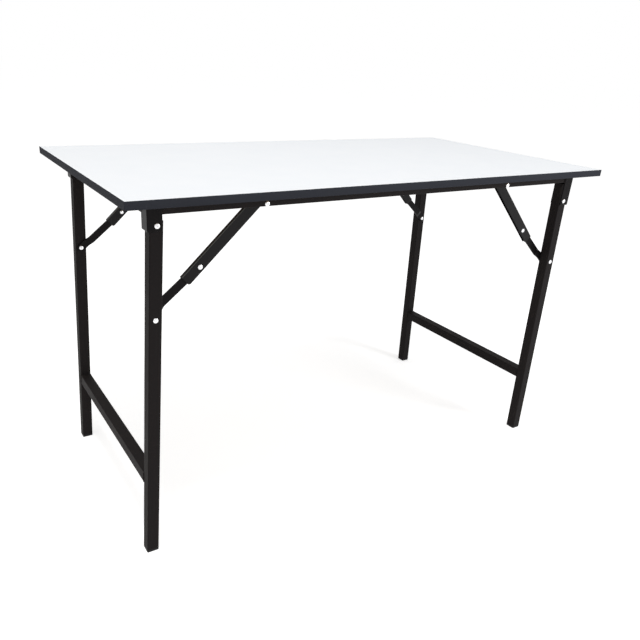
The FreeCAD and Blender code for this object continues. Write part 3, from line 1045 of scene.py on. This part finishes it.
@dataclass
class Rivets(Assembly):
    """Blind rivets: a domed head with a sunken centre, a shank and a formed tail.

    A shape is a row of pairs: shares of the well's or the tail's radius, and of its depth.
    """

    head_radius: float = 0.0052
    head_height: float = 0.0022
    shank_radius: float = 0.003
    well_radius: float = 0.0011
    well_depth: float = 0.001
    well_shape: Shape = ((0.0, 1.0), (0.75, 1.0), (1.0, 0.4), (1.3, 0.044))
    crest_ratio: float = 1.6
    dome_steps: tuple[float, ...] = (0.0, 0.22, 0.42, 0.6, 0.76, 0.89, 0.97)
    brim_share: float = 0.08
    edge_share: float = 0.14
    tail_radius: float = 0.0046
    tail_height: float = 0.0022
    tail_shape: Shape = (
        (1.0, 0.0), (1.0, 0.25), (0.9, 0.6), (0.68, 0.86), (0.36, 0.98), (0.0, 1.0)
    )
    bar_thickness: float = 0.003
    steps: int = 28

    def rivet(self, grip: float, tail: bool) -> BMesh:
        """Make one rivet with its head above the seat at Z = 0.

        Args:
            grip: The length of the shank.
            tail: Whether a formed tail closes the shank.

        Returns:
            The rivet.
        """
        profile = []
        for out, down in self.well_shape:
            profile.append((self.well_radius * out, self.head_height - self.well_depth * down))
        crest = self.well_radius * self.crest_ratio
        for share in self.dome_steps:
            swell = self.brim_share + (1.0 - self.brim_share) * math.sqrt(1.0 - share**2)
            profile.append((crest + (self.head_radius - crest) * share, self.head_height * swell))
        profile.append((self.head_radius, self.head_height * self.edge_share))
        profile.append((self.head_radius, 0.0))
        profile += [(self.shank_radius, 0.0), (self.shank_radius, -grip)]
        for out, down in self.tail_shape if tail else ((0.0, 0.0),):
            profile.append((self.tail_radius * out, -grip - self.tail_height * down))
        return turned(profile, self.steps)

    def gather(self, node: str, body: str, seats: Seats, grip: float, tail: bool) -> None:
        """Make the rivets of one node as one piece.

        Args:
            node: The node that it replaces.
            body: The body that it rides on.
            seats: Pairs of a head's seat and its outward direction.
            grip: The length of each shank.
            tail: Whether formed tails close the shanks.
        """
        whole = bmesh.new()
        single = self.rivet(grip, tail)
        for seat, outward in seats:
            merge_into(whole, single, facing(seat, outward))
        single.free()
        self.bench.add(whole, f"{node}_domed", body, Slot.BRIGHT_RIVET, [node])

    def across(
        self, centre: Vector, face: float, sides: Iterable[Side] = Side, inward: bool = False
    ) -> Seats:
        """List seats on one or both long sides.

        Args:
            centre: A point that gives X and Z.
            face: The distance of the seat from the middle plane.
            sides: The long sides.
            inward: Whether the heads face the middle plane.

        Returns:
            Pairs of seat and outward direction.
        """
        seats = []
        for side in sides:
            seat = Vector((centre.x, side.value * face, centre.z))
            seats.append((seat, Vector((0.0, -side.value if inward else side.value, 0.0))))
        return seats

    def stay_rivets(self, end: End, side: Side) -> None:
        """Make the rivets at the middle and at the lower end of one stay.

        Args:
            end: The end of the table.
            side: Its long side.
        """
        name = f"{side.word}_{end.word}"
        node = f"{name}_stay_rivet"
        seats = self.across(middle(node), self.layout.channel_face, [side])
        self.gather(node, f"{name}_upper_arm", seats, self.layout.channel_width, tail=True)
        node = f"{name}_bar_rivet_end"
        seat_face = self.layout.bar_face - self.bar_thickness
        seats = self.across(middle(node), seat_face, [side], inward=True)
        self.gather(node, f"{name}_lower_arm", seats, self.bar_thickness, tail=False)

    def build(self) -> None:
        """Make every rivet of the table."""
        layout = self.layout
        swings = {joint["name"]: Vector(joint["pos_m"]) for joint in self.bench.frame["joints"]}
        rail_seats = []
        for end in End:
            node = f"{end.word}_leg_pivot_rivets"
            seats = self.across(middle(node), layout.bracket_face)
            grip = 2.0 * (layout.bracket_face - layout.row)
            self.gather(node, FRAME_BODY, seats, grip, tail=True)
            node = f"{end.word}_leg_stay_rivets"
            seats = self.across(middle(node), layout.leg_face)
            self.gather(node, f"{end.word}_leg_frame", seats, layout.tube, tail=False)
            for side in Side:
                self.stay_rivets(end, side)
            rail_seats += self.across(swings[f"near_{end.word}_channel_swing"], layout.rail_face)
        grip = layout.rail_face - layout.channel_face + layout.channel_width
        self.gather("stay_rail_rivets", FRAME_BODY, rail_seats, grip, tail=True)


@dataclass
class Screws(Assembly):
    """Pan-head screws with a cross recess, driven up through the rails into the board."""

    head_radius: float = 0.004
    head_height: float = 0.0022
    shank_radius: float = 0.002
    grip: float = 0.030
    point: float = 0.003
    dome_steps: tuple[float, ...] = (0.35, 0.6, 0.8, 0.93)
    dome_power: float = 2.6
    edge_share: float = 0.25
    recess_length: float = 0.0042
    recess_width: float = 0.0009
    recess_depth: float = 0.0013
    reaches: tuple[float, float] = (0.120, 0.430)
    steps: int = 24

    def screw(self) -> BMesh:
        """Make one screw with its head above Z = 0.

        Returns:
            The screw with its recess cut.
        """
        profile = [(0.0, self.head_height)]
        for share in self.dome_steps:
            swell = math.sqrt(1.0 - share**self.dome_power)
            profile.append((self.head_radius * share, self.head_height * swell))
        profile.append((self.head_radius, self.head_height * self.edge_share))
        profile += [(self.head_radius, 0.0), (self.shank_radius, 0.0)]
        profile += [(self.shank_radius, self.point - self.grip), (0.0, -self.grip)]
        return carved(turned(profile, self.steps), self.cross())

    def cross(self) -> BMesh:
        """Make the cross that cuts the recess.

        Returns:
            A cross that reaches from the recess's floor to above the head.
        """
        half = self.recess_width / 2
        floor, top = self.head_height - self.recess_depth, 2.0 * self.head_height
        mesh = block(Vector((-half, -half, floor)), Vector((half, half, top)))
        mesh.normal_update()
        sides = [face for face in mesh.faces if abs(face.normal.z) < MERGE_DISTANCE]
        arms = bmesh.ops.extrude_discrete_faces(mesh, faces=sides)["faces"]
        for face in arms:
            reach = face.normal * (self.recess_length / 2 - half)
            bmesh.ops.translate(mesh, verts=face.verts, vec=reach)
        return mesh

    def build(self) -> None:
        """Make all the screws as one piece."""
        whole = bmesh.new()
        single = self.screw()
        row, height = self.layout.row, self.layout.rail_foot
        for end in End:
            for side in Side:
                for reach in self.reaches:
                    seat = Vector((end.value * reach, side.value * row, height))
                    merge_into(whole, single, facing(seat, Vector((0.0, 0.0, -1.0))))
        single.free()
        self.bench.add(whole, "top_screws_recessed", FRAME_BODY, Slot.ZINC_STEEL, ["top_screws"])


@dataclass
class FootCaps(Assembly):
    """Moulded caps that close the legs: a plug in the tube and a sole with soft edges."""

    wall: float = 0.0013
    sole: float = 0.005
    plug: float = 0.015
    rim_round: float = 0.0008
    corner_steps: int = 4
    spare: float = 0.002

    def blank(self) -> BMesh:
        """Make an upright cap whose sole reaches below Z = 0 by a spare length.

        Returns:
            The cap before it is leaned and cut.
        """
        half = self.layout.tube / 2
        mesh = block(Vector((-half, -half, -self.spare)), Vector((half, half, self.sole)))
        upright = [e for e in mesh.edges if abs(e.verts[0].co.z - e.verts[1].co.z) > self.sole]
        soften(mesh, upright, TUBE_CORNER, self.corner_steps)
        top = max(mesh.faces, key=lambda face: face.calc_center_median().z)
        bmesh.ops.inset_region(mesh, faces=[top], thickness=self.wall, use_even_offset=True)
        raised = bmesh.ops.extrude_face_region(mesh, geom=[top])
        tips = [item for item in raised["geom"] if isinstance(item, bmesh.types.BMVert)]
        bmesh.ops.translate(mesh, verts=tips, vec=(0.0, 0.0, self.plug))
        bmesh.ops.delete(mesh, geom=[top], context="FACES_ONLY")
        return mesh

    def cap(self, foot: Vector, end: End) -> BMesh:
        """Make one cap on the floor.

        Args:
            foot: The point of the floor in the middle of the leg.
            end: The end of the table, which sets the way the leg leans.

        Returns:
            The cap in its place.
        """
        mesh = self.blank()
        lean = Matrix.Rotation(-end.value * self.layout.splay, 4, "Y")
        bmesh.ops.transform(mesh, matrix=Matrix.Translation(foot) @ lean, verts=mesh.verts)
        cut = bmesh.ops.bisect_plane(
            mesh,
            geom=[*mesh.verts, *mesh.edges, *mesh.faces],
            plane_co=(0.0, 0.0, 0.0),
            plane_no=(0.0, 0.0, -1.0),
            clear_outer=True,
        )
        ring = [item for item in cut["geom_cut"] if isinstance(item, bmesh.types.BMEdge)]
        bmesh.ops.edgeloop_fill(mesh, edges=ring)
        soften(mesh, ring, self.rim_round)
        close_up(mesh)
        return mesh

    def build(self) -> None:
        """Make the four caps."""
        feet = {row["name"]: Vector(row["pos_m"]) for row in self.bench.frame["record"]["mounts"]}
        for end in End:
            for side in Side:
                name = f"{side.word}_{end.word}"
                mesh = self.cap(feet[f"{name}_foot"], end)
                node = f"{name}_foot_cap"
                body = f"{end.word}_leg_frame"
                self.bench.add(mesh, f"{node}_moulded", body, Slot.BLACK_CAP, [node])


@dataclass
class Welds(Assembly):
    """Painted weld beads, each a row of low overlapping ripples."""

    ripple: float = 0.0015
    pitch: float = 0.0017
    waver: float = 0.12
    waver_step: float = 2.4
    squeeze: float = 0.85
    ripple_sides: int = 8
    ripple_rings: int = 5

    def bead(self, mesh: BMesh, start: Vector, stop: Vector) -> None:
        """Lay one straight bead.

        Args:
            mesh: The mesh that takes it.
            start: Where it starts.
            stop: Where it stops.
        """
        run = stop - start
        count = max(2, round(run.length / self.pitch))
        for index in range(count):
            size = self.ripple * (1.0 + self.waver * math.sin(index * self.waver_step))
            stretch = Matrix.Diagonal((size, size, size * self.squeeze, 1.0))
            bmesh.ops.create_uvsphere(
                mesh,
                u_segments=self.ripple_sides,
                v_segments=self.ripple_rings,
                radius=1.0,
                matrix=facing(start + run * ((index + 0.5) / count), run) @ stretch,
            )

    def around(self, mesh: BMesh, centre: Vector, tilt: float) -> None:
        """Lay beads on the four sides of a square tube's end.

        Args:
            mesh: The mesh that takes them.
            centre: The middle of the tube's end, which faces along Y.
            tilt: How far the tube is turned about Y.
        """
        half = self.layout.tube / 2
        turn = Matrix.Rotation(tilt, 3, "Y")
        across, up = turn @ Vector((half, 0.0, 0.0)), turn @ Vector((0.0, 0.0, half))
        trim = 1.0 - TUBE_CORNER / half
        for sign in (-1.0, 1.0):
            for out, along in ((across, up), (up, across)):
                side = centre + sign * out
                self.bead(mesh, side - along * trim, side + along * trim)

    def stretcher_beads(self, end: End) -> None:
        """Weld one stretcher to its two legs.

        Args:
            end: The end of the table.
        """
        low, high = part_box(f"{end.word}_stretcher")
        centre = (low + high) / 2
        mesh = bmesh.new()
        for face in (low.y, high.y):
            joint = Vector((centre.x, face, centre.z))
            self.around(mesh, joint, -end.value * self.layout.splay)
        body = f"{end.word}_leg_frame"
        self.bench.add(mesh, f"{end.word}_stretcher_welds", body, Slot.BLACK_STEEL)

    def rail_beads(self) -> None:
        """Weld the cross rails to the long rails and the brackets, below and at their sides."""
        mesh = bmesh.new()
        for node in ("left_cross_rail", "centre_cross_rail", "right_cross_rail"):
            low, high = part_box(node)
            left, right = low.x + TUBE_CORNER, high.x - TUBE_CORNER
            foot, top = low.z + TUBE_CORNER, high.z - TUBE_CORNER
            for face in (low.y, high.y):
                self.bead(mesh, Vector((left, face, low.z)), Vector((right, face, low.z)))
                for edge in (low.x, high.x):
                    self.bead(mesh, Vector((edge, face, foot)), Vector((edge, face, top)))
        self.bench.add(mesh, "cross_rail_welds", FRAME_BODY, Slot.BLACK_STEEL)

    def bracket_beads(self) -> None:
        """Weld each bracket's cheeks to the sides of its rail."""
        mesh = bmesh.new()
        for end in End:
            for side in Side:
                low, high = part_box(f"{side.word}_{end.word}_bracket")
                edge = high.x if end is End.LEFT else low.x
                rail_low, rail_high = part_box(f"{side.word}_rail")
                foot, top = rail_low.z + TUBE_CORNER, rail_high.z - TUBE_CORNER
                for face in (rail_low.y, rail_high.y):
                    self.bead(mesh, Vector((edge, face, foot)), Vector((edge, face, top)))
        self.bench.add(mesh, "bracket_welds", FRAME_BODY, Slot.BLACK_STEEL)

    def build(self) -> None:
        """Lay every bead."""
        for end in End:
            self.stretcher_beads(end)
        self.rail_beads()
        self.bracket_beads()


# Studio


@dataclass(frozen=True)
class Lamp:
    """A soft round lamp: its place, its width, its power in watts and its colour."""

    name: str
    place: tuple[float, float, float]
    size: float
    power: float
    tint: Colour

    def hang(self, target: Vector) -> None:
        """Hang the lamp so that it points at the table.

        Args:
            target: The point that it lights.
        """
        data = bpy.data.lights.new(self.name, "AREA")
        data.shape = "DISK"
        data.size = self.size
        data.energy = self.power
        data.color = self.tint
        place = Vector(self.place)
        add_object(self.name, data).matrix_world = facing(place, place - target)


@dataclass
class Studio:
    """A pale floor, a white surround, soft lamps and the camera."""

    eye: tuple[float, float, float] = (-0.9110, -1.2811, 0.9767)
    yaw: float = 0.557
    pitch: float = 0.432
    roll: float = 0.056
    lens: float = 36.19
    sensor: float = 36.0
    shift: tuple[float, float] = (0.063, 0.042)
    clip_start: float = 0.05
    surround: float = 0.50
    floor_size: float = 30.0
    floor_lift: float = 0.55
    floor_colour: Colour = (0.9, 0.9, 0.9)
    floor_roughness: float = 0.9
    lamp_target: tuple[float, float, float] = (0.0, 0.0, 0.5)
    lamps: tuple[Lamp, ...] = (
        Lamp("key_lamp", place=(-0.9, -0.9, 3.9), size=0.7, power=57.0, tint=(1.0, 0.97, 0.94)),
        Lamp("front_lamp", place=(1.5, -2.2, 1.1), size=0.8, power=27.0, tint=(0.93, 0.965, 1.0)),
        Lamp("side_lamp", place=(-3.2, 0.4, 1.4), size=1.6, power=1.8, tint=(1.0, 0.92, 0.5)),
    )

    def camera(self) -> None:
        """Set up the camera at the viewing angle."""
        turn = (
            Matrix.Rotation(-self.yaw, 4, "Z")
            @ Matrix.Rotation(math.pi / 2 - self.pitch, 4, "X")
            @ Matrix.Rotation(self.roll, 4, "Z")
        )
        data = bpy.data.cameras.new("camera")
        data.sensor_width = self.sensor
        data.lens = self.lens
        data.shift_x, data.shift_y = self.shift
        data.clip_start = self.clip_start
        camera = add_object("camera", data)
        camera.matrix_world = Matrix.Translation(self.eye) @ turn
        bpy.context.scene.camera = camera

    def seen_directly(self, graph: Graph) -> Socket:
        """Tell the rays that see the background as it is from those that only light the object.

        Args:
            graph: The graph that asks.

        Returns:
            A socket that is 1 for the rays that see the background.
        """
        path = graph.add("LightPath").outputs
        direct = graph.most(path["Is Camera Ray"], path["Is Glossy Ray"])
        return graph.most(direct, path["Is Transmission Ray"])

    def world(self) -> None:
        """Make the white surround."""
        world = bpy.data.worlds.new("surround")
        world.use_nodes = True
        graph = Graph(world.node_tree)
        background = world.node_tree.nodes["Background"].inputs
        graph.feed(background["Color"], WHITE)
        strength = graph.span(self.seen_directly(graph), (self.surround, 1.0))
        graph.feed(background["Strength"], strength)
        bpy.context.scene.world = world

    def floor(self) -> None:
        """Make the floor, which keeps the shadow and is lifted towards white where it is seen."""
        mesh = bmesh.new()
        bmesh.ops.create_grid(mesh, x_segments=4, y_segments=4, size=self.floor_size)
        data = mesh_data(mesh, "floor")
        draft = Draft("floor")
        draft.put("Base Color", opaque(self.floor_colour))
        draft.put("Roughness", self.floor_roughness)
        draft.put("Specular IOR Level", 0.0)
        draft.put("Emission Color", WHITE)
        lift = draft.span(self.seen_directly(draft), (0.0, self.floor_lift))
        draft.put("Emission Strength", lift)
        data.materials.append(draft.material)
        add_object("floor", data)

    def build(self) -> None:
        """Set up the whole studio."""
        bpy.context.scene.view_settings.view_transform = "Standard"
        self.camera()
        self.world()
        self.floor()
        for lamp in self.lamps:
            lamp.hang(Vector(self.lamp_target))
        log.info("studio ready")


def main() -> None:
    """Load the table, dress it, add its fine pieces and set up the studio."""
    logging.basicConfig(level=logging.INFO, format="%(name)s: %(message)s")
    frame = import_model()
    effects = Effects()
    bench = Bench(frame, {finish.name: finish.build(effects) for finish in FINISHES})
    bench.dress_nodes()
    layout = Layout.measured(frame["joints"])
    for assembly in (Worktop, Rivets, Screws, FootCaps, Welds):
        assembly(bench, layout).build()
    Studio().build()


if __name__ == "__main__":
    main()
